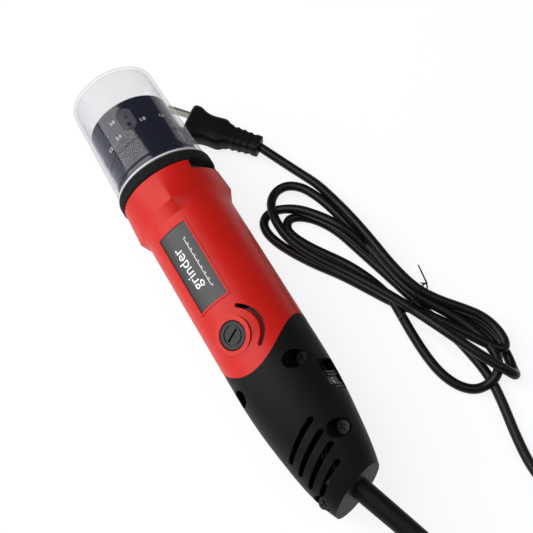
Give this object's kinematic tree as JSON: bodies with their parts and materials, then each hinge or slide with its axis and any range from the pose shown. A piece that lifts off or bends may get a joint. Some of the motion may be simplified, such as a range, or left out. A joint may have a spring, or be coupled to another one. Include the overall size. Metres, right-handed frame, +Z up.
{
  "type": "handheld disc grinder",
  "caption": "Handheld mains grinder with a red motor housing, black handle, ported guide head over a flat diamond disc, clear pull-off cover and a tied cord with plug.",
  "frame": {"origin": "under the middle of the tool's box, on the table that it lies on, measured without the cord", "axes": "+Z up from the table, +Y from the cord end to the clear cover, +X towards the switch side and the tied cord"},
  "size_m": [0.1585, 0.3865, 0.0613],
  "materials": {
    "red_shell": "satin moulded, deep red",
    "black_handle": "finely spark-textured",
    "bumper": "coarse speckled",
    "black_head": "black anodised, turned",
    "clear": "clear, moulded",
    "label": "satin printed film",
    "black_plastic": "satin",
    "inner_plastic": "moulded",
    "steel": "ground",
    "bare_aluminium": "machined",
    "brass": "stamped",
    "copper": "enamelled copper",
    "carbon": "pressed carbon",
    "laminations": "stacked laminations",
    "diamond": "sintered diamond grit",
    "dark_seal": "smooth",
    "port_grey": "moulded grey",
    "cord_sheath": "smooth satin sheath",
    "screw_black": "blackened steel"
  },
  "bodies": {
    "housing": {"bearing_carrier": "bare_aluminium", "brush_cap_lower": "black_plastic", "brush_cap_upper": "black_plastic", "brush_frame": "inner_plastic", "brush_holders": "brass", "brush_springs": "steel", "bumper_ring": "bumper", "carbon_brushes": "carbon", "clamp_screws": "steel", "cord_clamp": "inner_plastic", "cord_hank": "cord_sheath", "cord_inner_end": "cord_sheath", "cord_plug_lead": "cord_sheath", "cord_sleeve": "dark_seal", "cord_tail_lead": "cord_sheath", "cord_tie": "dark_seal", "cover_seal": "dark_seal", "field_coils": "copper", "front_bearing_outer_race": "steel", "handle_lower_half": "black_handle", "handle_screws": "screw_black", "handle_upper_half": "black_handle", "head_base": "black_head", "head_screws": "steel", "label_plate": "label", "motor_housing": "red_shell", "motor_wires": "cord_sheath", "plug_blades": "brass", "plug_body": "dark_seal", "rear_bearing_outer_race": "steel", "stator_core": "laminations", "supply_wires": "cord_sheath", "switch_body": "black_plastic"},
    "rotor": {"spindle": "steel", "rotor_core": "laminations", "rotor_windings": "copper", "commutator": "copper", "cooling_fan": "inner_plastic", "front_bearing_inner_race": "steel", "front_bearing_balls": "steel", "rear_bearing_inner_race": "steel", "rear_bearing_balls": "steel", "disc_hub": "steel", "diamond_disc": "diamond", "disc_screw": "steel"},
    "guide": {"guide_turret": "black_head", "port_plate": "port_grey"},
    "cover": {"clear_cover": "clear"},
    "switch": {"switch_slider": "black_plastic"}
  },
  "joints": [
    {"name": "spindle_spin", "type": "hinge", "parent": "housing", "child": "rotor", "pos_m": [0, 0.06802, 0.03077], "axis": [0, 0.9998, 0.0192], "continuous": true},
    {"name": "guide_turn", "type": "hinge", "parent": "housing", "child": "guide", "pos_m": [0, 0.06802, 0.03077], "axis": [0, 0.9998, 0.0192], "range_deg": [-90, 90]},
    {"name": "cover_pull", "type": "slide", "parent": "housing", "child": "cover", "axis": [0, 0.9998, 0.0192], "range_m": [0, 0.07]},
    {"name": "switch_slide", "type": "slide", "parent": "housing", "child": "switch", "axis": [0, 0.9998, 0.0192], "range_m": [0, 0.006]}
  ]
}
